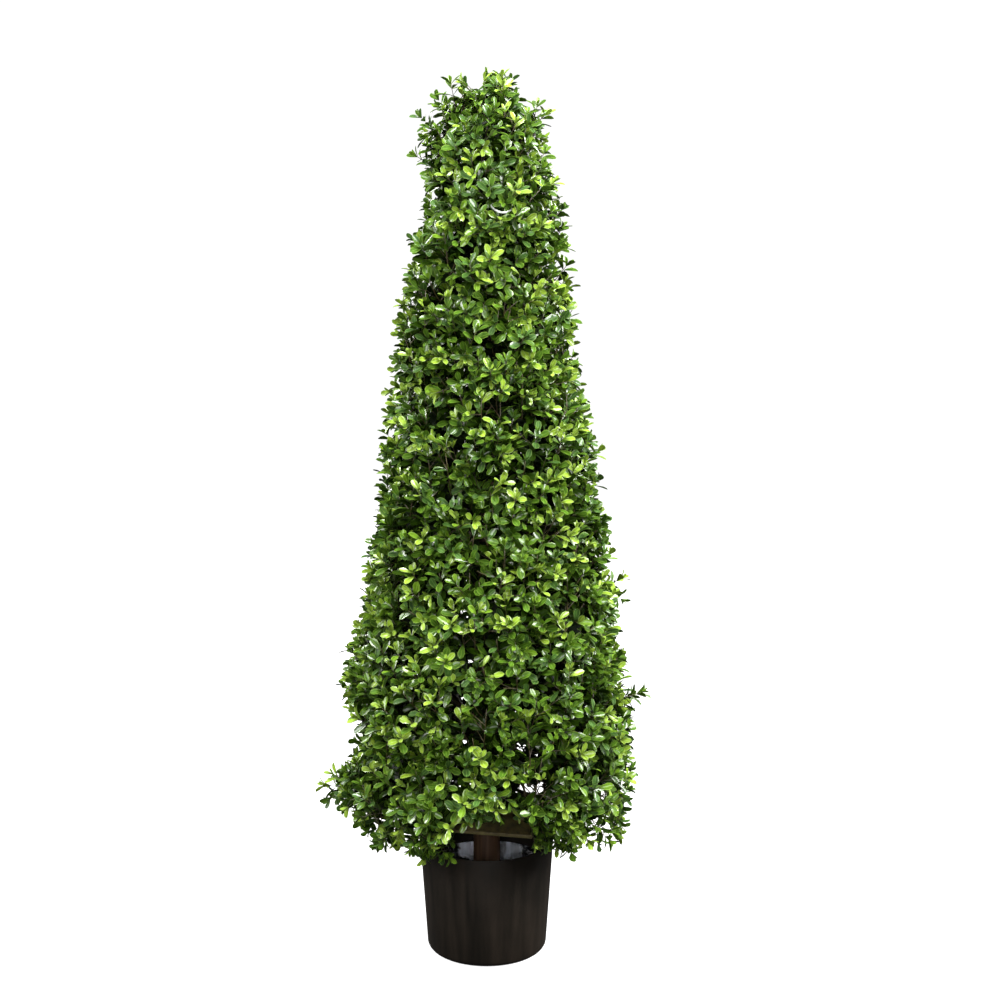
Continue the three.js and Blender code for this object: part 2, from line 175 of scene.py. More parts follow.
bpy.ops.object.select_all(action="DESELECT")
bpy.ops.mesh.primitive_cone_add(
    vertices=ROUND_SIDES, radius1=POT_BASE_RADIUS, radius2=POT_TOP_RADIUS, depth=POT_HEIGHT,
    end_fill_type="NGON", location=(0, 0, POT_HEIGHT / 2),
)
pot = bpy.context.object
bpy.ops.object.transform_apply(location=True)
pick(pot, "FACE", lambda face: face.center.z > POT_HEIGHT - NEAR)
bpy.ops.mesh.inset(thickness=POT_WALL)
bpy.ops.mesh.extrude_region_move(TRANSFORM_OT_translate={"value": (0, 0, POT_FLOOR - POT_HEIGHT)})
floor_share = (POT_BASE_RADIUS - POT_WALL) / (POT_TOP_RADIUS - POT_WALL)
bpy.ops.transform.resize(value=(floor_share, floor_share, 1), center_override=(0, 0, POT_FLOOR))
pick(pot, "EDGE", lambda edge: edge_height(pot, edge) == 0)
bpy.ops.mesh.bevel(offset=POT_FOOT_ROUND, segments=6)
pick(pot, "EDGE", lambda edge: (edge_height(pot, edge) or 0) > POT_HEIGHT - NEAR)
bpy.ops.mesh.bevel(offset=POT_RIM_ROUND, segments=2)
smooth_to(pot, 35)


def pot_finish(place):
    streak = place.speckle(90, (1, 1, 0.035), 4)
    cloud = place.speckle(14)
    grain = place.speckle(900, (1, 1, 0.2), 2)
    marks = (0.6 * streak + 0.4 * cloud).between(0.35, 0.65)
    return {
        "Base Color": marks.tint((0.0051, 0.0042, 0.0030), (0.0116, 0.0079, 0.0049)),
        "Roughness": 0.40 + 0.20 * marks,
        "Normal": (0.7 * streak + 0.3 * grain).relief(0.0003, 0.35),
    }


pot_plastic = material_of("black_pot_plastic", pot_finish, Specular_IOR_Level=0.22)
settle(pot, "pot_shell", pot_plastic, "pot")

# ======================================================================================
# Ballast. The pot is weighted to two thirds of its height and covered with a glossy black
# film, laid in loosely, creased round the post and turned up a little against the wall.

FILL_FOOT = 0.012
FILL_TOP = 0.106
FILL_COLLAR = 0.006
POST_RADIUS = 0.019
FILM_ROOM = 0.0008
FILM_RINGS = 15
FILM_LOWEST = 0.09
# Distance in from the wall and lift of each step of the turned-up edge
TURN_UP = [(0.006, 0.0084), (0.011, 0.0048), (0.018, 0.0024)]
# Displacement of the folds and of the creases between them
FOLD_HEIGHT = 0.013
CREASE_HEIGHT = 0.005


def pot_bore(height):
    """Inner radius of the pot at a height."""
    return POT_BASE_RADIUS + (POT_TOP_RADIUS - POT_BASE_RADIUS) * height / POT_HEIGHT - POT_WALL


FILM_EDGE = pot_bore(FILL_TOP) - FILM_ROOM
bpy.ops.object.select_all(action="DESELECT")
bpy.ops.mesh.primitive_cylinder_add(
    vertices=ROUND_SIDES, radius=FILM_EDGE, depth=FILL_TOP - FILL_FOOT, end_fill_type="NGON",
    location=(0, 0, 0.5 * (FILL_TOP + FILL_FOOT) - 0.001),
)
film = bpy.context.object
bpy.ops.object.transform_apply(location=True)
pick(film, "FACE", lambda face: face.normal.z > 0.9)
ring_step = (FILM_EDGE - POST_RADIUS) / FILM_RINGS
for ring in range(FILM_RINGS):
    bpy.ops.mesh.inset(thickness=ring_step)
bpy.ops.mesh.extrude_region_move(TRANSFORM_OT_translate={"value": (0, 0, FILL_COLLAR)})
foot_share = (pot_bore(FILL_FOOT) - 0.001) / FILM_EDGE
pick(film, "FACE", lambda face: face.normal.z < -0.9)
bpy.ops.transform.resize(value=(foot_share, foot_share, 1), center_override=(0, 0, 0))
for depth, lift in TURN_UP:
    rim = FILM_EDGE - depth
    pick(film, "VERT", lambda spot: spot.co.z > FILM_LOWEST and spot.co.xy.length > rim)
    bpy.ops.transform.translate(value=(0, 0, lift))
bpy.ops.object.mode_set(mode="OBJECT")
folds = bpy.data.textures.new("film_folds", "VORONOI")
folds.noise_scale = 0.030
folds.distance_metric = "DISTANCE"
crease = bpy.data.textures.new("film_creases", "CLOUDS")
crease.noise_scale = 0.016
crease.noise_type = "HARD_NOISE"
group = film.vertex_groups.new(name="laid")
laid = [
    spot.index for spot in film.data.vertices
    if spot.co.z > FILM_LOWEST and POST_RADIUS + 0.001 < spot.co.xy.length < FILM_EDGE - 0.001
]
group.add(laid, 1.0, "REPLACE")
for texture, height in ((folds, FOLD_HEIGHT), (crease, CREASE_HEIGHT)):
    modifier = film.modifiers.new(texture.name, "DISPLACE")
    modifier.texture = texture
    modifier.direction = "Z"
    modifier.strength = height
    modifier.mid_level = 0.5
    modifier.vertex_group = "laid"
    bpy.ops.object.modifier_apply(modifier=modifier.name)
smooth_to(film, 24)

# Dull painted reflection on the film, pale bluish patches where the lamps would show in its gloss: left,
# right and front edge of each patch
FILM_PAINTED_REFLECTIONS = [(-0.044, -0.012, 0.050), (0.012, 0.052, 0.030)]
REFLECTION_PATCH_EDGE = 0.004


def film_finish(place):
    wrinkle = place.speckle(120, (1, 1, 1), 5, 0.6)
    across = place.node("ShaderNodeSeparateXYZ", None, {"Vector": place}, 0)
    back = place.node("ShaderNodeSeparateXYZ", None, {"Vector": place}, 1)
    ragged = 0.030 * (place.speckle(60) - 0.5)
    # Painted reflection: pale bluish patches in the base colour where the lamps would show in the glossy
    # black film
    painted_reflection = 0.0
    for left, right, front in FILM_PAINTED_REFLECTIONS:
        from_left = (across + ragged).between(left, left + REFLECTION_PATCH_EDGE)
        from_right = (across + ragged).between(right, right - REFLECTION_PATCH_EDGE)
        painted_reflection = from_left * from_right * (back + ragged).between(front, front + 0.006) + painted_reflection
    streak = place.speckle(110, (1, 0.2, 0.2), 4).between(0.38, 0.62)
    return {
        "Base Color": (painted_reflection * (0.35 + 0.65 * streak)).tint((0.010, 0.011, 0.014), (0.84, 0.89, 1.00)),
        "Roughness": 0.16 + 0.18 * place.speckle(45),
        "Normal": wrinkle.relief(0.0012, 0.5),
    }


settle(film, "ballast_cover", material_of("black_ballast_film", film_finish), "pot_fill")

# ======================================================================================
# Post. The topiary's trunk is a round wooden pole, stained dark brown, that is set in the
# ballast and runs up inside the crown. Its grain stands in long shallow ridges.

POST_FOOT = 0.012
POST_TOP = 1.082
POST_SIDES = 60
POST_CUTS = 180
POST_SMOOTHED = 0.0002
POST_TOP_ROUND = 0.0025
GRAIN_STRETCH = 16
# Size and height of the ridges of the grain
GRAIN_RIDGES = [(0.006, 0.0011), (0.0022, 0.0005)]

bpy.ops.object.select_all(action="DESELECT")
bpy.ops.mesh.primitive_cylinder_add(
    vertices=POST_SIDES, radius=POST_RADIUS - POST_SMOOTHED, depth=POST_TOP - POST_FOOT, end_fill_type="NGON",
    location=(0, 0, (POST_TOP + POST_FOOT) / 2),
)
post = bpy.context.object
bpy.ops.object.transform_apply(location=True)
pick(post, "EDGE", lambda edge: edge_height(post, edge) is None)
bpy.ops.mesh.subdivide(number_cuts=POST_CUTS)
pick(post, "EDGE", lambda edge: (edge_height(post, edge) or 0) > POST_TOP - NEAR)
bpy.ops.mesh.bevel(offset=POST_TOP_ROUND, segments=2)
bpy.ops.object.mode_set(mode="OBJECT")
bpy.ops.object.select_all(action="DESELECT")
bpy.ops.object.empty_add(location=(0, 0, 0))
grain_place = bpy.context.object
grain_place.scale = (1, 1, GRAIN_STRETCH)
take(post)
for size, height in GRAIN_RIDGES:
    texture = bpy.data.textures.new("post_grain", "CLOUDS")
    texture.noise_scale = size
    modifier = post.modifiers.new("post_grain", "DISPLACE")
    modifier.texture = texture
    modifier.texture_coords = "OBJECT"
    modifier.texture_coords_object = grain_place
    modifier.strength = height
    modifier.mid_level = 0.7
    bpy.ops.object.modifier_apply(modifier=modifier.name)
bpy.data.objects.remove(grain_place)
smooth_to(post, 40)


def post_finish(place):
    grain = place.speckle(260, (1, 1, 0.03), 5, 0.6)
    figure = place.speckle(70, (1, 1, 0.05), 3)
    stain = (0.55 * grain + 0.45 * figure).between(0.36, 0.64)
    return {
        "Base Color": stain.tint((0.030, 0.013, 0.005), (0.110, 0.060, 0.032)),
        "Roughness": 0.42 + 0.2 * stain,
        "Normal": grain.relief(0.0006, 0.6),
    }


settle(post, "trunk_pole", material_of("stained_post_wood", post_finish), "trunk_post")

# ======================================================================================
# Board. A square of stained hardboard, threaded on the post just over the pot, that
# closes the skirt from below. Its edges are sawn and paler than its faces.

BOARD_SIDE = 0.160
BOARD_THICKNESS = 0.005
BOARD_UNDERSIDE = 0.194
BOARD_TURN = math.radians(-12)
BOARD_HOLE_ROOM = 0.0006
BOARD_EDGE_ROUND = 0.0007

bpy.ops.object.select_all(action="DESELECT")
bpy.ops.mesh.primitive_cube_add(size=1, location=(0, 0, BOARD_UNDERSIDE + BOARD_THICKNESS / 2))
board = bpy.context.object
board.scale = (BOARD_SIDE, BOARD_SIDE, BOARD_THICKNESS)
board.rotation_euler.z = BOARD_TURN
bpy.ops.object.transform_apply(location=True, rotation=True, scale=True)
bpy.ops.object.select_all(action="DESELECT")
bpy.ops.mesh.primitive_cylinder_add(
    vertices=64, radius=POST_RADIUS + BOARD_HOLE_ROOM, depth=8 * BOARD_THICKNESS,
    location=(0, 0, BOARD_UNDERSIDE + BOARD_THICKNESS / 2),
)
drill = bpy.context.object
take(board)
modifier = board.modifiers.new("post_hole", "BOOLEAN")
modifier.object = drill
modifier.operation = "DIFFERENCE"
modifier.solver = "EXACT"
bpy.ops.object.modifier_apply(modifier=modifier.name)
bpy.data.objects.remove(drill)
modifier = board.modifiers.new("sawn_edges", "BEVEL")
modifier.width = BOARD_EDGE_ROUND
modifier.segments = 2
modifier.limit_method = "ANGLE"
bpy.ops.object.modifier_apply(modifier=modifier.name)
smooth_to(board, 35)


def board_finish(place):
    fibre = place.speckle(160, (1, 0.35, 3), 5, 0.65)
    wear = place.speckle(28)
    height = place.node("ShaderNodeSeparateXYZ", None, {"Vector": place}, 2)
    sawn = 1 - height.between(BOARD_UNDERSIDE + 0.0006, BOARD_UNDERSIDE + 0.0022)
    stain = (0.6 * fibre + 0.4 * wear).between(0.36, 0.64)
    face = stain.tint((0.060, 0.044, 0.012), (0.190, 0.150, 0.050))
    return {
        "Base Color": (sawn * fibre.between(0.3, 0.55)).tint(face, (0.130, 0.125, 0.040)),
        "Roughness": 0.48 + 0.25 * fibre,
        "Normal": fibre.relief(0.0005, 0.6),
    }


settle(board, "skirt_board", material_of("stained_hardboard", board_finish), "base_board")

# ======================================================================================
# Boughs and twigs. The crown is hung on stiff stems that leave the post at a rising
# slant. Each carries a fan of moulded twigs, and each twig up to three side twigs.

MASS_NAMES = ["foliage_skirt", "foliage_lower", "foliage_middle", "foliage_upper", "foliage_top"]
MASS_JOINTS = [0.302, 0.566, 0.793, 0.978]
MASS_SLOPE = math.tan(math.radians(40))
CROWN_OUTLINE = [
    (0.188, 0.180), (0.204, 0.250), (0.196, 0.420), (0.163, 0.600), (0.132, 0.800),
    (0.103, 1.000), (0.083, 1.140), (0.070, 1.180), (0.042, 1.208), (0.000, 1.216),
]
ROW_STEP = 0.072
SPRIG_STEP = 0.096
FIRST_ROW = 0.4
FINER = 2.75
BUMP = 0.007
BUMP_WAVES = [(3, 0.070, 0), (5, -0.048, 2)]
HEM_FOOT = 0.172
HEM_RAISE = 0.068
HEM_CLEARANCE = 0.008
HEM_OVERHANG = 0.010
HEM_RAISE_AZIMUTH = math.radians(-86)
HEM_RAISE_SPREAD = math.radians(30)
SEED = 22

# Azimuth in degrees, tip radius, tip height and rise in degrees of each sprig that strays
STRAYS = [
    (183, 0.234, 0.243, 12), (-2, 0.222, 0.378, 24), (8, 0.196, 0.532, 30), (184, 0.098, 1.108, 35),
    (190, 0.092, 1.160, 45), (200, 0.050, 1.206, 78), (185, 0.066, 1.184, 62), (-40, 0.028, 1.214, 84),
    (-24, 0.036, 1.208, 78), (-70, 0.030, 1.200, 74), (-6, 0.084, 1.164, 50), (-125, 0.148, 0.168, -66),
    (-122, 0.150, 0.180, -55), (-128, 0.160, 0.180, -50), (-53, 0.140, 0.180, -62), (-58, 0.160, 0.196, -45),
    (-40, 0.155, 0.176, -60), (-95, 0.160, 0.226, -40), (-8, 0.190, 0.168, -45), (30, 0.185, 0.166, -45),
    (-124, 0.152, 0.178, -48), (-66, 0.164, 0.198, -55), (-62, 0.160, 0.204, -40), (-44, 0.152, 0.178, -45),
    (-42, 0.158, 0.168, -72), (-32, 0.169, 0.182, -45), (-146, 0.170, 0.198, -20), (-91, 0.107, 1.031, 40),
    (-66, 0.108, 1.045, 50), (-86, 0.101, 1.076, 42), (-64, 0.099, 1.072, 45), (-101, 0.113, 0.980, 50),
    (-83, 0.141, 0.762, 50), (-87, 0.128, 0.846, 50), (-127, 0.117, 0.915, 50), (87, 0.234, 0.330, 20),
    (-90, 0.199, 0.292, 25), (-86, 0.197, 0.272, 12), (-94, 0.196, 0.276, 12), (-88, 0.200, 0.312, 35),
    (-92, 0.190, 0.258, -5),
]

# Openings that the sky shows through from the front: middle across, middle height, half
# width and half height, on the upright plane through the post as the eye sees it
EYE = (0.0185, -2.75, 1.235)
SKY_GAPS = [
    (0.049, 0.231, 0.007, 0.010), (0.057, 0.226, 0.008, 0.006), (0.075, 0.232, 0.006, 0.010),
    (0.081, 0.238, 0.005, 0.005), (0.069, 0.284, 0.007, 0.007), (0.047, 0.292, 0.008, 0.005),
    (-0.030, 0.299, 0.003, 0.004), (-0.034, 0.363, 0.005, 0.003), (-0.061, 0.243, 0.003, 0.004),
    (0.152, 0.183, 0.006, 0.006), (0.168, 0.176, 0.006, 0.005), (0.162, 0.222, 0.004, 0.008),
]
# Left, right, foot and top, on the same plane, of the board's bare front and of the notches
# between the tufts at the crown's tip
BOARD_FRONT = (-0.044, 0.062, 0.120, 0.180)
NOTCHES = [
    BOARD_FRONT,
    (0.049, 0.120, 1.168, 1.300), (-0.024, -0.003, 1.190, 1.300), (-0.120, -0.057, 1.150, 1.300),
]

random = np.random.default_rng(SEED)


def outline_radius(height):
    radii, heights = np.array(CROWN_OUTLINE).T
    return np.interp(height, heights, radii)


def smoothstep(value, low, high):
    share = np.clip((value - low) / (high - low), 0, 1)
    return share * share * (3 - 2 * share)


def swell(azimuth, height):
    """Slow swelling of the clipped surface."""
    waves = [np.sin(turns * azimuth + height / rise + start) for turns, rise, start in BUMP_WAVES]
    return 0.5 * BUMP * sum(waves)


# Lumps left by the shears: azimuth in degrees, height, how far they stand out, and their
# half width in degrees and in height
LUMPS = [
    (180, 0.900, 0.006, 45, 0.060), (180, 1.060, -0.012, 50, 0.045), (0, 1.040, 0.008, 45, 0.030),
    (0, 0.740, 0.012, 40, 0.060), (0, 0.560, -0.010, 35, 0.016), (180, 0.500, -0.008, 45, 0.020),
    (180, 0.325, -0.042, 50, 0.028), (180, 0.262, -0.004, 40, 0.014), (180, 0.222, 0.014, 30, 0.012),
    (180, 0.172, -0.024, 40, 0.020), (180, 0.620, -0.007, 50, 0.120), (0, 0.345, 0.010, 35, 0.030),
    (0, 0.240, -0.006, 35, 0.025), (-60, 0.320, -0.016, 4, 0.060), (90, 0.480, 0.010, 40, 0.050),
    (120, 0.800, -0.008, 35, 0.040), (60, 0.950, 0.007, 35, 0.050), (150, 0.250, 0.008, 30, 0.040),
]
TOP_DIP = 0.012
TOP_DIP_HEIGHT = 1.185
TOP_DIP_SPREAD = 0.018


def lumps(azimuth, height):
    """How far the crown stands out of its even outline, in or out, at each place."""
    total = -TOP_DIP * np.exp(-((height - TOP_DIP_HEIGHT) / TOP_DIP_SPREAD) ** 2)
    for turn, middle, amount, wide, tall in LUMPS:
        away = np.degrees(np.mod(azimuth - math.radians(turn) + math.pi, 2 * math.pi) - math.pi)
        total = total + amount * np.exp(-(away / wide) ** 2 - ((height - middle) / tall) ** 2)
    return total


def hem_height(azimuth):
    away = np.mod(azimuth - HEM_RAISE_AZIMUTH + math.pi, 2 * math.pi) - math.pi
    return HEM_FOOT + HEM_RAISE * np.exp(-(away / HEM_RAISE_SPREAD) ** 4)


def rows_of_tips(row_step, twig_step, jitter):
    """Azimuth, height and radius of tips in staggered rows round the crown, from the hem up."""
    radii, heights = np.array(CROWN_OUTLINE).T
    lengths = np.concatenate([[0], np.cumsum(np.hypot(np.diff(radii), np.diff(heights)))])
    azimuths, levels, reaches = [], [], []
    for row, along in enumerate(np.arange(FIRST_ROW * row_step, lengths[-1], row_step)):
        radius = np.interp(along, lengths, radii)
        count = max(1, round(2 * math.pi * radius / twig_step))
        turn = np.arange(count) + 0.5 * (row % 2) + random.uniform(-jitter, jitter, count)
        azimuth = turn * 2 * math.pi / count
        height = np.interp(along, lengths, heights) + random.uniform(-jitter, jitter, count) * row_step
        reach = np.minimum(radius, outline_radius(height)) + swell(azimuth, height) + lumps(azimuth, height)
        kept = height > hem_height(azimuth) + HEM_CLEARANCE
        azimuths.append(azimuth[kept])
        levels.append(height[kept])
        reaches.append(reach[kept])
    return np.concatenate(azimuths), np.concatenate(levels), np.concatenate(reaches)


def around(azimuth, radius, height):
    return np.stack([radius * np.cos(azimuth), radius * np.sin(azimuth), height], axis=-1)


def heading(azimuth, rise):
    return around(azimuth, np.cos(rise), np.sin(rise))


def unit(vectors):
    return vectors / np.linalg.norm(vectors, axis=-1, keepdims=True)


def sides_of(axis):
    """Two directions square to each axis and to each other."""
    level = np.abs(axis[..., 2:3]) > 0.95
    first = unit(np.cross(np.where(level, [1.0, 0.0, 0.0], [0.0, 0.0, 1.0]), axis))
    return first, np.cross(axis, first)


def tipped(axis, spread, roll):
    """Directions tipped away from an axis by `spread`, turned round it by `roll`."""
    first, second = sides_of(axis)
    out = np.cos(roll)[..., None] * first + np.sin(roll)[..., None] * second
    return np.cos(spread)[..., None] * axis + np.sin(spread)[..., None] * out, out


# Boughs, at the step of the solids' own sprigs
BOUGH_JITTER = 0.22
BOUGH_DEPTH = 0.052
BOUGH_LEAST = 0.008
BOUGH_HIGHEST = 1.17
BOUGH_LOWEST_FOOT = 0.016
BOUGH_FEET_SPREAD = 0.10
BOUGH_SWEEP = 0.15
BOUGH_SUNK = 0.003
BOUGH_SAG = 0.004
azimuth, height, reach = rows_of_tips(ROW_STEP, SPRIG_STEP, BOUGH_JITTER)
bough_reach = np.maximum(reach - BOUGH_DEPTH, POST_RADIUS + BOUGH_LEAST)
bough_end = around(azimuth, bough_reach, np.minimum(height, BOUGH_HIGHEST))
foot_height = height - (bough_reach - POST_RADIUS) * MASS_SLOPE
lowest = BOARD_UNDERSIDE + BOUGH_LOWEST_FOOT + BOUGH_FEET_SPREAD * random.random(len(height))
foot_height = np.clip(foot_height, lowest, POST_TOP - 0.01)
bough_root = around(azimuth + BOUGH_SWEEP, np.full(len(height), POST_RADIUS - BOUGH_SUNK), foot_height)

# Twigs, by the same rule at a finer step. They rise at a slant, more steeply half way up
# and over the top, and turn down toward the hem
TWIG_JITTER = 0.34
TWIG_BARE_TIP = 0.011
SPRIG_RISE = math.radians(40)
TWIG_STEEPER = math.radians(10)
RISE_VARIES = math.radians(13)
SIDE_STEEPER = math.radians(13)
SIDE_FROM, SIDE_TO = (0.28, 0.42), (0.85, 1.05)
TOP_STEEPER = math.radians(45)
TOP_FROM = (1.12, 1.205)
HEM_HANGS = math.radians(95)
HEM_TO = (0.19, 0.30)
REACH_VARIES = (-0.008, 0.006)
STEEP_SINE = 0.75
STEEP_SET_BACK = 0.014
MISSING_SHARE = 0.05
TWIG_SWING = 0.28
azimuth, height, reach = rows_of_tips(ROW_STEP / FINER, SPRIG_STEP / FINER, TWIG_JITTER)
steep = smoothstep(height, *TOP_FROM) * TOP_STEEPER
hang = (1 - smoothstep(height, *HEM_TO)) * HEM_HANGS
upright = smoothstep(height, *SIDE_FROM) * (1 - smoothstep(height, *SIDE_TO)) * SIDE_STEEPER
rise = SPRIG_RISE + TWIG_STEEPER + upright + steep - hang + random.normal(0, RISE_VARIES, len(height))
set_back = STEEP_SET_BACK * np.clip(np.sin(rise) - STEEP_SINE, 0, 1) / (1 - STEEP_SINE)
reach = np.maximum(reach + random.uniform(*REACH_VARIES, len(height)) - set_back, 0)
kept = random.random(len(height)) > MISSING_SHARE
azimuth, height, reach, rise = azimuth[kept], height[kept], reach[kept], rise[kept]
turned = azimuth + random.normal(0, TWIG_SWING, len(azimuth))
stray_azimuth, stray_reach, stray_height, stray_rise = np.array(STRAYS).T
stray_azimuth = np.radians(stray_azimuth)
tip = np.concatenate([around(azimuth, reach, height), around(stray_azimuth, stray_reach, stray_height)])
axis = np.concatenate([heading(turned, rise), heading(stray_azimuth, np.radians(stray_rise))])
stray = np.arange(len(tip)) >= len(azimuth)
end = tip - TWIG_BARE_TIP * axis

# A twig bends up toward its end, and behind its leaves runs straight back to its bough
TWIG_LEAFY = 0.058
TWIG_RINGS = (0.039, 0.02)
TWIG_BEND = 0.13
TWIG_ROOTS = (0.62, 0.98)
bend = unit(np.array([0.0, 0.0, 1.0]) - axis[:, 2:3] * axis)
bend[np.abs(axis[:, 2]) > 0.97] = 0


def twig_spot(distance):
    """Point and direction on each twig, at a distance back from its end."""
    distance = np.broadcast_to(distance, len(end))[:, None]
    point = end - distance * axis + bend * distance ** 2 / (2 * TWIG_BEND)
    return point, unit(axis - bend * distance / TWIG_BEND)


inner = twig_spot(TWIG_LEAFY)[0]
gap = np.linalg.norm(inner[:, None] - bough_end[None], axis=-1)
parent = np.argmin(gap, axis=1)
share = random.uniform(*TWIG_ROOTS, len(tip))[:, None]
root = bough_root[parent] + share * (bough_end[parent] - bough_root[parent])

# Side twigs. Each fork has its distance back from the twig's end, and how often it has one
SIDE_FORKS = [(0.023, 0.60), (0.035, 0.80), (0.048, 0.75)]
FORK_VARIES = 0.004
SIDE_LEAN = (math.radians(38), math.radians(62))
SIDE_LENGTH = (0.022, 0.036)
SIDE_MARGIN = 0.012
SIDE_SET_BACK = 0.03
SIDE_SINK = 0.3
side_root, side_axis, side_length, side_owner = [], [], [], []
for fork, odds in SIDE_FORKS:
    spot, along = twig_spot(fork + random.uniform(-FORK_VARIES, FORK_VARIES, len(tip)))
    chosen = random.random(len(tip)) < odds
    lean = random.uniform(*SIDE_LEAN, len(tip))
    roll = random.uniform(0, 2 * math.pi, len(tip))
    branch = tipped(along, lean, roll)[0]
    length = random.uniform(*SIDE_LENGTH, len(tip))
    side_root.append(spot[chosen])
    side_axis.append(branch[chosen])
    side_length.append(length[chosen])
    side_owner.append(np.flatnonzero(chosen))
side_root, side_axis = np.concatenate(side_root), np.concatenate(side_axis)
side_length, side_owner = np.concatenate(side_length), np.concatenate(side_owner)
side_end = side_root + side_length[:, None] * side_axis
side_azimuth = np.arctan2(side_end[:, 1], side_end[:, 0])
allowed = outline_radius(side_end[:, 2]) + swell(side_azimuth, side_end[:, 2]) - SIDE_MARGIN
allowed = allowed + lumps(side_azimuth, side_end[:, 2])
proud = np.hypot(side_end[:, 0], side_end[:, 1]) - allowed
proud = np.where(stray[side_owner], 0, np.clip(proud, 0, SIDE_SET_BACK))
outward = around(side_azimuth, np.ones(len(proud)), np.full(len(proud), SIDE_SINK))
side_end = side_end - proud[:, None] * outward
side_axis = unit(side_end - side_root)


def joint_number(points):
    """Which mass each point belongs to, counted from the hem up."""
    radius = np.hypot(points[:, 0], points[:, 1])
    return np.searchsorted(MASS_JOINTS, points[:, 2] - MASS_SLOPE * (radius - POST_RADIUS))


def as_seen(points):
    """Where points fall on the upright plane through the post, as the eye sees them."""
    nearer = EYE[1] / (EYE[1] - points[:, 1])
    return EYE[0] + (points[:, 0] - EYE[0]) * nearer, EYE[2] + (points[:, 2] - EYE[2]) * nearer


def in_notch(points, notch):
    """True where a point is seen within a notch."""
    across, seen = as_seen(points)
    left, right, foot, top = notch
    return (across > left) & (across < right) & (seen > foot) & (seen < top)


def in_sky(points):
    """True where a point would close one of the openings or fill one of the notches."""
    across, seen = as_seen(points)
    closed = np.zeros(len(points), bool)
    for notch in NOTCHES:
        closed |= in_notch(points, notch)
    for middle, level, half_width, half_height in SKY_GAPS:
        closed |= ((across - middle) / half_width) ** 2 + ((seen - level) / half_height) ** 2 < 1
    return closed


def stems(points, radii, sides=3):
    """Thin tapered tubes through rows of points: each one's vertices, and the faces of one."""
    count, rings = points.shape[:2]
    along = unit(points[:, -1] - points[:, 0])
    first, second = sides_of(along)
    turn = np.arange(sides) * 2 * math.pi / sides
    wheel = np.cos(turn)[None, :, None] * first[:, None] + np.sin(turn)[None, :, None] * second[:, None]
    spots = points[:, :, None] + np.asarray(radii)[None, :, None, None] * wheel[:, None]
    faces = []
    for ring in range(rings - 1):
        for side in range(sides):
            low, low_next = ring * sides + side, ring * sides + (side + 1) % sides
            faces += [(low, low_next, low_next + sides), (low, low_next + sides, low + sides)]
    cap = (rings - 1) * sides
    faces.append((cap, cap + 1, cap + 2))
    return spots.reshape(count, -1, 3), np.array(faces)


def joined(name, spots, faces, marks=None):
    """One smooth mesh out of many copies: their vertices by copy, and the faces of one."""
    count, corners = spots.shape[:2]
    triangles = (faces[None] + (np.arange(count) * corners)[:, None, None]).reshape(-1, 3)
    mesh = bpy.data.meshes.new(name)
    mesh.vertices.add(count * corners)
    mesh.vertices.foreach_set("co", spots.reshape(-1).astype(np.float32))
    mesh.loops.add(triangles.size)
    mesh.loops.foreach_set("vertex_index", triangles.reshape(-1).astype(np.int32))
    mesh.polygons.add(len(triangles))
    mesh.polygons.foreach_set("loop_start", np.arange(0, triangles.size, 3, dtype=np.int32))
    mesh.polygons.foreach_set("use_smooth", np.ones(len(triangles), bool))
    for mark, values in (marks or {}).items():
        layer = mesh.attributes.new(mark, "FLOAT", "POINT")
        layer.data.foreach_set("value", np.tile(values, count).astype(np.float32))
    mesh.update(calc_edges=True)
    piece = bpy.data.objects.new(name, mesh)
    bpy.context.scene.collection.objects.link(piece)
    return piece


def twig_finish(place):
    marks = place.speckle(55).between(0.35, 0.65)
    return {"Base Color": marks.tint((0.018, 0.010, 0.004), (0.050, 0.040, 0.010))}


twig_material = material_of("brown_twigs", twig_finish, Roughness=0.5)
bough_middle = bough_root + 0.5 * (bough_end - bough_root) - [0, 0, BOUGH_SAG]
bough_points = np.stack([bough_root, bough_middle, bough_end], 1)
twig_points = np.stack([root, inner] + [twig_spot(distance)[0] for distance in TWIG_RINGS] + [end], 1)
side_points = np.stack([side_root, side_end], 1)
# Twigs that would hang across the board's bare front are left out, with their leaves
crosses = np.zeros(len(tip), bool)
for ring in (1, 2, 3):
    crosses |= in_notch(twig_points[:, ring], BOARD_FRONT) & (twig_points[:, ring, 1] < 0)
every_bough = np.ones(len(bough_points), bool)
# Points, radii from root to end, name, which may hang below the hem and which cross the board
STEM_SETS = [
    (bough_points, (0.0034, 0.0028, 0.0018), "boughs", every_bough, ~every_bough),
    (twig_points, (0.0014, 0.0011, 0.0009, 0.0007, 0.0005), "twigs", stray, crosses),
    (side_points, (0.0008, 0.0004), "side_twigs", stray[side_owner], crosses[side_owner]),
]
for points, radii, kind, may_hang, crossing in STEM_SETS:
    owner = joint_number(points[:, -1])
    azimuth = np.arctan2(points[:, -1, 1], points[:, -1, 0])
    under_hem = (points[:, -1, 2] < hem_height(azimuth) - HEM_OVERHANG) & ~may_hang
    clear = ~(in_sky(points[:, -1]) | in_sky(points.mean(axis=1)) | under_hem | crossing)
    spots, faces = stems(points, radii)
    for number, mass in enumerate(MASS_NAMES):
        piece = joined(f"{mass}_{kind}", spots[(owner == number) & clear], faces)
        settle(piece, piece.name, twig_material, mass)

# ======================================================================================
# Leaves. Boxwood leaves moulded in soft polythene, in crossed pairs up each twig and in a
# star at its end: a blunt oval, folded on its midrib, with a pale margin that is partly
# painted edge highlight, and a waxy shine.

# Place along a leaf of unit length and half width there, on young leaves and on old ones
LEAF_STATIONS = [(0.15, 0.078), (0.38, 0.172), (0.66, 0.250), (0.89, 0.188)]
OLD_STATIONS = [(0.30, 0.22), (0.72, 0.24)]
LEAF_FOLD = 0.30
LEAF_CURL = 0.13
LEAF_TIP_LIFT = 0.01


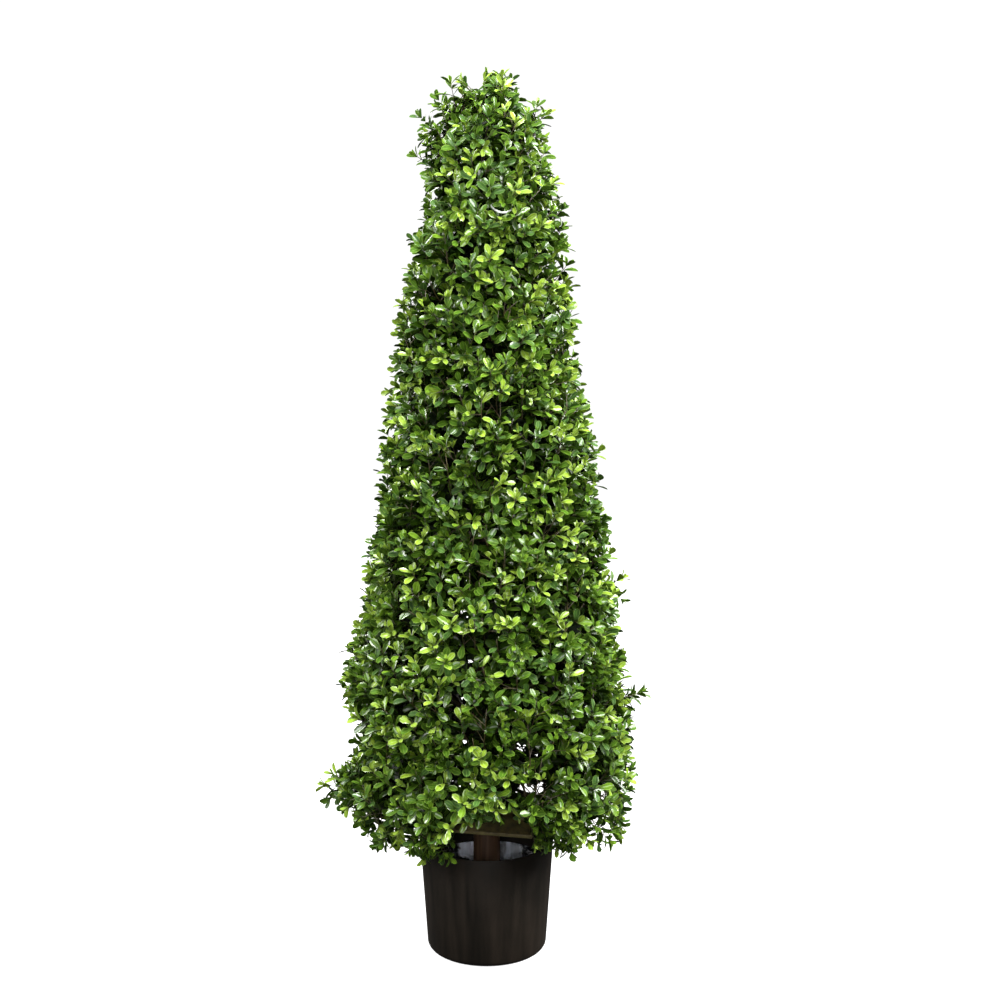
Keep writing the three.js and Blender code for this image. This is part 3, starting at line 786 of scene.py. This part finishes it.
def leaf_blank(stations):
    """One leaf of unit length along y, its face up z: vertices, triangles, and 1 at its margin."""
    spots, rims = [(0, 0, 0)], [1]
    for along, half in stations:
        for side in (-1, 0, 1):
            spots.append((side * half, along, abs(side) * half * LEAF_FOLD - LEAF_CURL * along ** 2))
            rims.append(abs(side))
    spots.append((0, 1, -LEAF_CURL + LEAF_TIP_LIFT))
    rims.append(1)
    faces = [(0, 2, 1), (0, 3, 2)]
    for station in range(len(stations) - 1):
        low = 1 + 3 * station
        for side in (0, 1):
            left = low + side
            faces += [(left, left + 1, left + 4), (left, left + 4, left + 3)]
    last = 3 * len(stations) - 2
    faces += [(last, last + 1, last + 3), (last + 1, last + 2, last + 3)]
    return np.array(spots, float), np.array(faces), np.array(rims, float)


SHADES = {
    "lime": (0.185, 0.290, 0.018),
    "fresh": (0.098, 0.190, 0.008),
    "green": (0.042, 0.098, 0.006),
    "blue": (0.034, 0.084, 0.014),
    "deep": (0.010, 0.025, 0.001),
}
SHADE_NUMBER = {name: number for number, name in enumerate(SHADES)}

# Distance back from the twig's end, spread in degrees and length of each pair of leaves
TWIG_PAIRS = [
    (0.0000, 16, 0.0125), (0.0006, 42, 0.0170), (0.0070, 54, 0.0205), (0.0150, 60, 0.0215),
    (0.0235, 66, 0.0215), (0.0325, 70, 0.0215), (0.0415, 72, 0.0215), (0.0505, 74, 0.0210),
]
SIDE_PAIRS = [
    (0.0000, 18, 0.0120), (0.0006, 44, 0.0162), (0.0072, 56, 0.0198), (0.0158, 62, 0.0208),
    (0.0248, 68, 0.0208),
]
YOUNG_SHARE = 0.36
COOL_SHARE = 0.42
# Shades up a spray, from its end pair down: young or grown, and warm or cool. The darkening
# down a spray is partly the leaves' own older colour and partly painted shade of the crown's inside
SPRAY_SHADES = {
    (True, False): ["lime", "lime", "lime", "green", "green"],
    (True, True): ["lime", "lime", "fresh", "blue", "blue"],
    (False, False): ["fresh", "green", "green", "green", "deep"],
    (False, True): ["green", "blue", "green", "blue", "deep"],
}


def shades_of(pair, young, cool):
    """Shade number of one pair of leaves on each spray."""
    # Pairs past the end of a list take the near-black deep colour, painted shade for the leaves deepest in
    # the crown
    numbers = np.full(len(young), SHADE_NUMBER["deep"])
    for (is_young, is_cool), shades in SPRAY_SHADES.items():
        if pair < len(shades):
            numbers[(young == is_young) & (cool == is_cool)] = SHADE_NUMBER[shades[pair]]
    return numbers


LEAN_VARIES = 0.15
ROLL_VARIES = 0.20
TWIST_VARIES = 0.28
LEAF_SIZES = (0.86, 1.12)
LEAF_WIDTHS = (0.82, 1.00)
# Leaves are slender at the tip and on strays, but not on the strays that hang at the hem
SLENDER_WIDTH = 0.74
SLENDER_ABOVE = 1.13
SLENDER_BELOW = 0.20
leaves = {"root": [], "along": [], "face": [], "length": [], "shade": [], "slim": [], "owner": []}


def add_pair(spot, along, spread, roll, length, shade, owner):
    """Two leaves across each other's stem, at every spot."""
    for side in (0, math.pi):
        count = len(spot)
        lean = np.radians(spread) + random.normal(0, LEAN_VARIES, count)
        leaf_along, out = tipped(along, lean, roll + side + random.normal(0, ROLL_VARIES, count))
        face = np.sin(lean)[:, None] * along - np.cos(lean)[:, None] * out
        twist = random.normal(0, TWIST_VARIES, count)[:, None]
        face = np.cos(twist) * face + np.sin(twist) * np.cross(leaf_along, face)
        leaves["root"].append(spot)
        leaves["along"].append(leaf_along)
        leaves["face"].append(face)
        leaves["length"].append(length * random.uniform(*LEAF_SIZES, count))
        leaves["shade"].append(shade)
        slender = (stray[owner] | (spot[:, 2] > SLENDER_ABOVE)) & (spot[:, 2] > SLENDER_BELOW)
        leaves["slim"].append(np.where(slender, SLENDER_WIDTH, random.uniform(*LEAF_WIDTHS, count)))
        leaves["owner"].append(owner)


everyone = np.arange(len(tip))
young = random.random(len(tip)) < YOUNG_SHARE
cool = random.random(len(tip)) < COOL_SHARE
side_young = random.random(len(side_end)) < YOUNG_SHARE
side_cool = random.random(len(side_end)) < COOL_SHARE
roll = random.uniform(0, 2 * math.pi, len(tip))
for pair, (distance, spread, length) in enumerate(TWIG_PAIRS):
    spot, along = twig_spot(distance)
    turn = roll + pair * math.pi / 2
    add_pair(spot, along, spread, turn, length, shades_of(pair, young, cool), everyone)
side_roll = random.uniform(0, 2 * math.pi, len(side_end))
for pair, (distance, spread, length) in enumerate(SIDE_PAIRS):
    spot = side_end - distance * side_axis
    turn = side_roll + pair * math.pi / 2
    add_pair(spot, side_axis, spread, turn, length, shades_of(pair, side_young, side_cool), side_owner)
outer = {name: np.concatenate(parts) for name, parts in leaves.items()}

# Old leaves on the bare inner stretch of the twigs, larger, and near-black as painted shade of the crown's
# inside
OLD_SHARES = (0.0, 0.22, 0.44, 0.66, 0.88)
OLD_SPREAD = 66
OLD_TURN = 7
OLD_LENGTH = 0.026
leaves = {name: [] for name in leaves}
for share in OLD_SHARES:
    spot = inner + share * (root - inner)
    along = unit(inner - root)
    turn = roll + share * OLD_TURN
    add_pair(spot, along, OLD_SPREAD, turn, OLD_LENGTH, np.zeros(len(tip), int), everyone)
old = {name: np.concatenate(parts) for name, parts in leaves.items()}


def leaf_finish(colour, margin):
    """A finish for a leaf of a colour, with painted shade darkening its foot, a paler midrib, and a pale
    margin that is partly painted edge highlight.
    """
    def finish(place):
        edge = place.node("ShaderNodeAttribute", {"attribute_name": "margin"}, None, 2)
        along = place.node("ShaderNodeAttribute", {"attribute_name": "along"}, None, 2)
        rib = 1 - edge.between(0.0, 0.16)
        rim = edge.between(0.70, 1.0)
        # The pale rib is the leaf's own; the pale rim is partly the leaf's own paler margin and partly
        # painted edge highlight
        pale_and_edge_highlight = 0.75 * rim + 0.5 * rib
        shadow = tuple(0.55 * part for part in colour)
        blade = place.speckle(110).between(0.36, 0.62).tint(shadow, colour)
        # Painted shade: the leaf darkens toward its foot, where the spray would shade it
        foot = tuple(0.35 * part for part in colour)
        return {"Base Color": along.between(0.0, 0.45).tint(foot, pale_and_edge_highlight.tint(blade, margin))}
    return finish


# Pale margin colour of each shade: partly the leaf's own paler edge and partly painted edge highlight, bluest
# on lime leaves for their sheen
MARGIN_AND_EDGE_HIGHLIGHT_COLOURS = {
    "lime": (0.285, 0.385, 0.150),
    "fresh": (0.200, 0.310, 0.060),
    "green": (0.145, 0.228, 0.032),
    "blue": (0.130, 0.210, 0.048),
    "deep": (0.022, 0.042, 0.004),
}
LEAF_SHINE = {"lime": 0.42, "fresh": 0.42, "green": 0.42, "blue": 0.46, "deep": 0.12}
leaf_materials = {}
for name, colour in SHADES.items():
    shine = LEAF_SHINE[name]
    leaf_materials[name] = material_of(
        f"leaf_{name}", leaf_finish(colour, MARGIN_AND_EDGE_HIGHLIGHT_COLOURS[name]),
        Roughness=0.40, Specular_IOR_Level=0.25 * shine, Coat_Weight=shine, Coat_Roughness=0.12)
# The old leaves' near-black colour and margin are painted shade of the crown's inside
leaf_materials["old"] = material_of(
    "leaf_old_painted_shade", leaf_finish((0.005, 0.011, 0.002), (0.010, 0.020, 0.004)),
    Roughness=0.5, Specular_IOR_Level=0.15)

# Pockets between the sprays that let the shade inside show: azimuth in degrees, height,
# half width and half height of the ones at the front, and then others all round
FRONT_POCKETS = [
    (-64, 0.288, 0.020, 0.026), (-61, 0.345, 0.011, 0.024), (-61, 0.410, 0.010, 0.022),
    (-92, 0.396, 0.014, 0.020), (-104, 0.430, 0.011, 0.014), (-120, 0.288, 0.012, 0.026),
    (-112, 0.398, 0.011, 0.012), (-85, 0.790, 0.014, 0.016), (-108, 0.738, 0.014, 0.018),
    (-92, 0.688, 0.017, 0.012), (-90, 0.658, 0.012, 0.014), (-98, 0.620, 0.018, 0.012),
    (-96, 0.580, 0.016, 0.012), (-78, 1.040, 0.012, 0.010),
]
POCKET_COUNT = 120
POCKET_FOOT, POCKET_RANGE, POCKET_LOWER = 0.22, 0.74, 1.2
POCKET_SIZES = (0.010, 0.018)
POCKET_INSET = 0.010
# Its depth, as a multiple of its half width and at most as a share of its radius
POCKET_DEPTH = 2.2
POCKET_REACH = 0.28
# No random pocket is below this height within this angle of the raised hem
POCKET_FREE = 0.36
POCKET_FREE_SPREAD = math.radians(40)
front_pockets = np.array(FRONT_POCKETS)
random_turn = random.uniform(0, 2 * math.pi, POCKET_COUNT)
random_height = POCKET_FOOT + POCKET_RANGE * random.random(POCKET_COUNT) ** POCKET_LOWER
random_size = random.uniform(*POCKET_SIZES, (POCKET_COUNT, 2))
by_hem = np.cos(random_turn - HEM_RAISE_AZIMUTH) > math.cos(POCKET_FREE_SPREAD)
kept = (random_height >= POCKET_FREE) | ~by_hem
pocket_turn = np.concatenate([np.radians(front_pockets[:, 0]), random_turn[kept]])
pocket_height = np.concatenate([front_pockets[:, 1], random_height[kept]])
pocket_size = np.concatenate([front_pockets[:, 2:], random_size[kept]])
pocket_place = around(pocket_turn, outline_radius(pocket_height) - POCKET_INSET, pocket_height)

# Leaves keep clear of the board, the post, the hem's lower edge, the sky's openings and the
# pockets. Strays above a height may fill openings and pockets, and old leaves stay inside
BOARD_ROOM = 0.118
BOARD_HEADROOM = 0.018
POST_ROOM = 0.003
STRAY_FREE = 0.235
OLD_DEPTH = 0.030
OLD_TOP = 1.15
LEAF_CHECKS = (0.05, 0.3, 0.55, 0.8, 1.0)


def add_leaves(leaf, stations, shades, inside=False):
    """Joins the leaves of each mass and shade into one piece."""
    blank, faces, rims = leaf_blank(stations)
    owner = joint_number(leaf["root"])
    middle = leaf["root"] + 0.5 * leaf["length"][:, None] * leaf["along"]
    point = leaf["root"] + leaf["length"][:, None] * leaf["along"]
    radius = np.hypot(middle[:, 0], middle[:, 1])
    is_stray = stray[leaf["owner"]]
    over_board = (radius < BOARD_ROOM) & (middle[:, 2] < BOARD_UNDERSIDE + BOARD_HEADROOM)
    in_post = (radius < POST_RADIUS + POST_ROOM) & (middle[:, 2] < POST_TOP)
    azimuth = np.arctan2(point[:, 1], point[:, 0])
    under_hem = (point[:, 2] < hem_height(azimuth) - HEM_OVERHANG) & ~is_stray
    hides = np.zeros(len(point), bool)
    for share in LEAF_CHECKS:
        hides |= in_sky(leaf["root"] + share * leaf["length"][:, None] * leaf["along"])
    in_pocket = np.zeros(len(point), bool)
    for turn, place, (wide, tall) in zip(pocket_turn, pocket_place, pocket_size):
        away = middle - place
        inward = away[:, 0] * math.cos(turn) + away[:, 1] * math.sin(turn)
        sideways = away[:, 1] * math.cos(turn) - away[:, 0] * math.sin(turn)
        deep = min(POCKET_DEPTH * wide, POCKET_REACH * math.hypot(place[0], place[1]))
        parts = inward / deep, sideways / wide, away[:, 2] / tall
        in_pocket |= np.linalg.norm(parts, axis=0) < 1
    free = is_stray & (middle[:, 2] > STRAY_FREE)
    clear = ~(((hides | in_pocket) & ~free) | over_board | in_post | under_hem | crosses[leaf["owner"]])
    if inside:
        clear &= (radius < outline_radius(middle[:, 2]) - OLD_DEPTH) & (middle[:, 2] < OLD_TOP) & ~is_stray
    across = np.cross(leaf["along"], leaf["face"])
    for number, mass in enumerate(MASS_NAMES):
        for shade, name in enumerate(shades):
            mine = clear & (owner == number) & (leaf["shade"] == shade)
            size = leaf["length"][mine][:, None, None]
            wide = leaf["slim"][mine][:, None, None]
            spots = leaf["root"][mine][:, None] + size * (
                wide * blank[None, :, 0:1] * across[mine][:, None]
                + blank[None, :, 1:2] * leaf["along"][mine][:, None]
                + blank[None, :, 2:3] * leaf["face"][mine][:, None]
            )
            if not len(spots):
                continue
            piece = joined(f"{mass}_leaves_{name}", spots, faces, {"margin": rims, "along": blank[:, 1]})
            settle(piece, piece.name, leaf_materials[name], mass)


add_leaves(outer, LEAF_STATIONS, list(SHADES))
add_leaves(old, OLD_STATIONS, ["old"], inside=True)

# ======================================================================================
# Tie. A white nylon strap tie, looped round the stems near the top of the crown, with its
# teeth on the outer side. Only the front of its loop shows among the leaves.

TIE_AZIMUTH = math.radians(-74.5)
TIE_RADIUS = 0.090
TIE_HEIGHT = 1.043
TIE_WIDTH = 0.027
TIE_LENGTH = 0.064
TIE_BAND = 0.0023
TIE_THICKNESS = 0.0009
TIE_DIP = math.radians(20)
TIE_TEETH = 88
TIE_TOOTH = 1.05
TIE_SIDE_CUTS = 23
TIE_SAG = 0.0075
TIE_SAG_LENGTH = 0.026
TIE_SAG_STEPS = 16


def edge_length(piece, edge):
    first, second = (piece.data.vertices[index].co for index in edge.vertices)
    return (first - second).length


bpy.ops.object.select_all(action="DESELECT")
tooth_turn = 2 * math.pi / TIE_TEETH
bpy.ops.mesh.primitive_cylinder_add(
    vertices=TIE_TEETH, radius=TIE_WIDTH / 2 - 0.0004, depth=TIE_BAND, end_fill_type="NOTHING",
)
tie = bpy.context.object
pick(tie, "VERT", lambda spot: round(math.atan2(spot.co.y, spot.co.x) / tooth_turn) % 2 == 0)
bpy.ops.transform.resize(value=(TIE_TOOTH, TIE_TOOTH, 1), center_override=(0, 0, 0))
pick(tie, "VERT", lambda spot: spot.co.y > 1e-5)
bpy.ops.transform.translate(value=(0, TIE_LENGTH - TIE_WIDTH, 0))
pick(tie, "EDGE", lambda edge: edge_length(tie, edge) > TIE_WIDTH)
bpy.ops.mesh.subdivide(number_cuts=TIE_SIDE_CUTS)
for step in range(TIE_SAG_STEPS):
    front = -TIE_WIDTH / 2 + (step + 0.5) / TIE_SAG_STEPS * TIE_SAG_LENGTH
    pick(tie, "VERT", lambda spot: spot.co.y < front)
    bpy.ops.transform.translate(value=(0, 0, -TIE_SAG / TIE_SAG_STEPS))
bpy.ops.object.mode_set(mode="OBJECT")
modifier = tie.modifiers.new("strap", "SOLIDIFY")
modifier.thickness = TIE_THICKNESS
modifier.offset = 1
bpy.ops.object.modifier_apply(modifier=modifier.name)
tie.location = (0, TIE_WIDTH / 2, 0)
bpy.ops.object.transform_apply(location=True)
tie.rotation_euler = (TIE_DIP, 0, 0)
tie.location = (0, -TIE_RADIUS, TIE_HEIGHT)
bpy.ops.object.transform_apply(location=True, rotation=True)
tie.rotation_euler = (0, 0, TIE_AZIMUTH + math.pi / 2)
bpy.ops.object.transform_apply(rotation=True)
smooth_to(tie, 30)


def tie_finish(place):
    marks = place.speckle(200).between(0.3, 0.7)
    return {"Base Color": marks.tint((0.50, 0.52, 0.50), (0.66, 0.68, 0.66))}


settle(tie, "strap_tie", material_of("white_nylon", tie_finish, Roughness=0.4), "cable_tie")

# ======================================================================================
# Studio. A plain white floor that casts no light, square soft lamps over the plant and all
# round it, and the camera at the height of the plant's top, tilted down.

# The world's light, and what is added where the camera sees it
WORLD_LIGHT = 0.07
WORLD_SEEN = 0.98
# Place, side and power of each lamp
LIGHTS = {
    "key": ((1.5, -1.9, 2.4), 1.0, 116),
    "fill": ((-1.6, -1.7, 1.9), 1.0, 47),
    "top": ((0.1, -0.8, 2.9), 1.0, 150),
    "front": ((-0.2, -2.3, 0.92), 0.6, 15),
    "right": ((2.3, -0.4, 1.6), 1.0, 125),
    "left": ((-2.3, -0.2, 1.5), 1.0, 58),
    "back_right": ((1.7, 1.3, 1.7), 0.9, 72),
    "back_left": ((-1.7, 1.3, 1.7), 0.9, 72),
}
LIGHT_AIM = 0.65

bpy.ops.object.select_all(action="DESELECT")
bpy.ops.mesh.primitive_plane_add(size=6, location=(0, 0, -0.0005))
studio_floor = bpy.context.object
studio_floor.name = "studio_floor"
studio_floor.data.materials.append(material_of(
    "studio_floor", Base_Color=(0.30, 0.30, 0.30, 1), Roughness=0.9, Specular_IOR_Level=0.0,
    Emission_Color=(1, 1, 1, 1), Emission_Strength=0.88,
))
studio_floor.visible_diffuse = False
studio_floor.visible_glossy = False

world = bpy.data.worlds.new("studio")
bpy.context.scene.world = world
world.use_nodes = True
tree = world.node_tree
background = tree.nodes["Background"]
path = tree.nodes.new("ShaderNodeLightPath")
strength = Signal(tree, path.outputs["Is Camera Ray"])
brightness = WORLD_LIGHT + WORLD_SEEN * strength
tree.links.new(brightness.socket, background.inputs["Strength"])
background.inputs["Color"].default_value = (1, 1, 1, 1)

for name, (place, size, power) in LIGHTS.items():
    lamp = bpy.data.lights.new(name, "AREA")
    lamp.shape = "SQUARE"
    lamp.size = size
    lamp.energy = power
    light = bpy.data.objects.new(name, lamp)
    light.location = place
    turn = math.atan2(-place[1], -place[0])
    tilt = math.atan2(LIGHT_AIM - place[2], math.hypot(place[0], place[1]))
    light.rotation_euler = (math.pi / 2 + tilt, 0, turn - math.pi / 2)
    bpy.context.scene.collection.objects.link(light)

lens = bpy.data.cameras.new("camera")
lens.lens = 74.85
lens.sensor_width = 36
camera = bpy.data.objects.new("camera", lens)
camera.location = EYE
camera.rotation_euler = (math.radians(77.85), 0, 0)
bpy.context.scene.collection.objects.link(camera)
bpy.context.scene.camera = camera
bpy.context.scene.view_settings.view_transform = "Standard"
